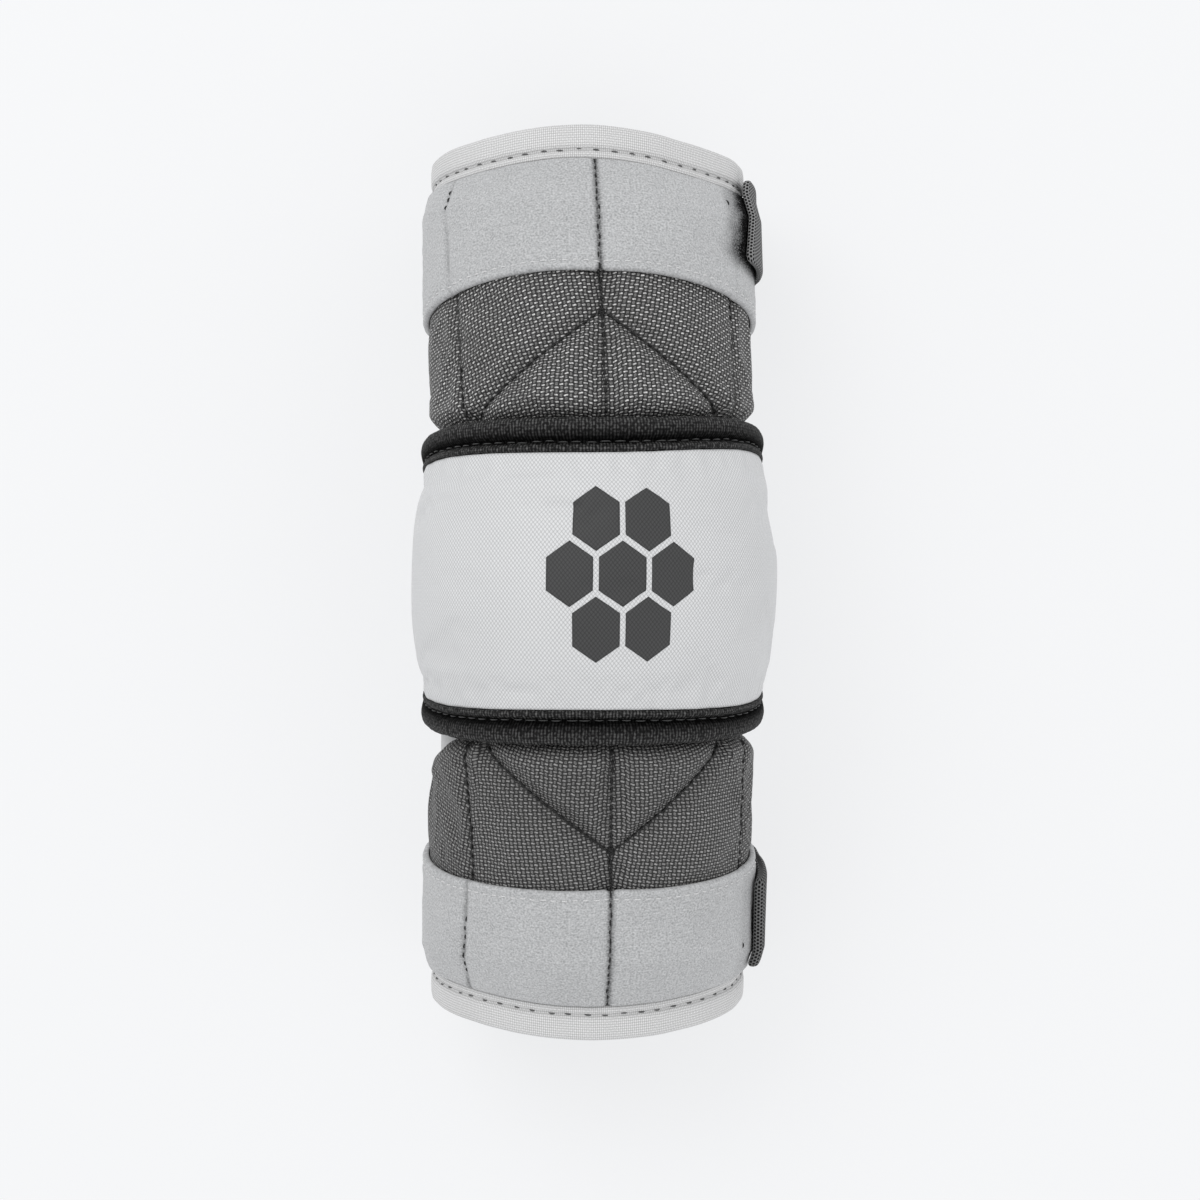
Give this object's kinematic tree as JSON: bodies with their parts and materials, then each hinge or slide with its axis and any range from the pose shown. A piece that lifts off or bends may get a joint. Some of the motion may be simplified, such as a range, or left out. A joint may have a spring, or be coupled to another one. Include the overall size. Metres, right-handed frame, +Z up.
{
  "type": "lacrosse arm pad",
  "caption": "Bent padded sleeve for the elbow with a crowned white cap, quilted woven pads, loop bands, hook straps with pull tabs and tape-bound rims.",
  "frame": {"origin": "middle of the bottom of the part's box, on the surface that it rests on", "axes": "+Z up, away from the surface it lies on and towards the elbow cap; +Y along the arm towards the upper arm; +X across it, towards the pull tabs"},
  "size_m": [0.119, 0.2979, 0.1294],
  "materials": {
    "liner": "light grey brushed knit",
    "mesh_panel": "dark grey basket weave with a slight sheen",
    "cap_twill": "white coated fine twill, semi-matt",
    "cap_elastic": "black ribbed elastic binding",
    "loop": "light grey brushed loop pile",
    "hook": "black hook tape",
    "spacer": "dark grey spacer mesh",
    "tape": "off-white plain woven tape"
  },
  "bodies": {
    "root": {"liner_sleeve": "liner", "elbow_cap": "cap_twill", "elbow_cap_binding": "cap_elastic", "upper_arm_pad": "mesh_panel", "upper_loop_band": "loop", "upper_strap": "loop", "upper_hook_patch": "hook", "upper_pull_tab": "spacer", "upper_rim_binding": "tape", "forearm_pad": "mesh_panel", "forearm_loop_band": "loop", "forearm_strap": "loop", "forearm_hook_patch": "hook", "forearm_pull_tab": "spacer", "forearm_rim_binding": "tape"}
  },
  "joints": []
}
